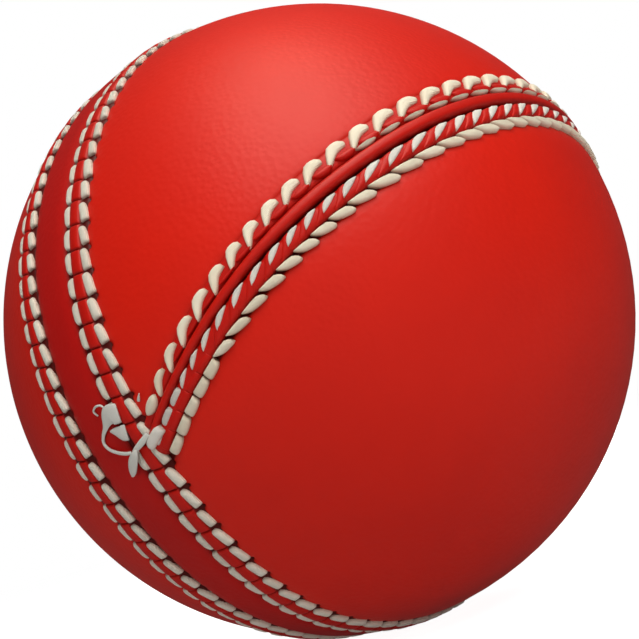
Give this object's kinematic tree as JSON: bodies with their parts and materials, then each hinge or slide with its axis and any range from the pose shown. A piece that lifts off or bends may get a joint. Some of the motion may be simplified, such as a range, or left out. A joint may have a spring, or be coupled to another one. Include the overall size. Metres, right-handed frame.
{
  "type": "cricket ball",
  "caption": "Red leather cricket ball: wound cork core, lining and a four-quarter leather case with a raised stitched main seam and curved, welted quarter seams.",
  "frame": {"origin": "centre of the ball", "axes": "+Y is the axis of the main seam and points away from the front cup; the main seam lies in the XZ plane; +Z points to the side of the front cup that its quarter seam arches over"},
  "size_m": [0.0731, 0.072, 0.073],
  "materials": {
    "nucleus_cork": "matte bonded cork granules",
    "wound_yarn": "matte wound wool yarn",
    "strip_cork": "matte sliced cork",
    "lining": "matte unfinished split leather",
    "case_leather": "polished, greased and slightly grained",
    "seam_leather": "semi-gloss",
    "ridge_leather": "semi-gloss",
    "welt_leather": "polished",
    "main_thread": "waxed linen thread, stained by the leather",
    "quarter_thread": "waxed linen thread, off-white"
  },
  "bodies": {
    "root": {"cork_nucleus": "nucleus_cork", "yarn_winding_inner": "wound_yarn", "yarn_winding_middle": "wound_yarn", "yarn_winding_outer": "wound_yarn", "cork_strip_inner_1": "strip_cork", "cork_strip_inner_2": "strip_cork", "cork_strip_inner_3": "strip_cork", "cork_strip_inner_4": "strip_cork", "cork_strip_inner_5": "strip_cork", "cork_strip_inner_6": "strip_cork", "cork_strip_outer_1": "strip_cork", "cork_strip_outer_2": "strip_cork", "cork_strip_outer_3": "strip_cork", "cork_strip_outer_4": "strip_cork", "cork_strip_outer_5": "strip_cork", "cork_strip_outer_6": "strip_cork", "lining_cup_front": "lining", "lining_cup_back": "lining", "leather_quarter_front_upper": "case_leather", "leather_quarter_front_lower": "case_leather", "leather_quarter_back_left": "case_leather", "leather_quarter_back_right": "case_leather", "seam_band": "seam_leather", "seam_ridge_front": "ridge_leather", "seam_ridge_back": "ridge_leather", "front_quarter_ridge_1": "ridge_leather", "front_quarter_ridge_2": "ridge_leather", "back_quarter_ridge_1": "ridge_leather", "back_quarter_ridge_2": "ridge_leather", "front_quarter_welt": "welt_leather", "back_quarter_welt": "welt_leather", "seam_thread_front_inner": "main_thread", "seam_thread_front_outer": "main_thread", "seam_thread_back_inner": "main_thread", "seam_thread_back_outer": "main_thread", "tie_knot": "main_thread", "front_quarter_thread_1": "quarter_thread", "front_quarter_thread_2": "quarter_thread", "front_quarter_thread_3": "quarter_thread", "front_quarter_thread_4": "quarter_thread", "back_quarter_thread_1": "quarter_thread", "back_quarter_thread_2": "quarter_thread", "back_quarter_thread_3": "quarter_thread", "back_quarter_thread_4": "quarter_thread"}
  },
  "joints": []
}
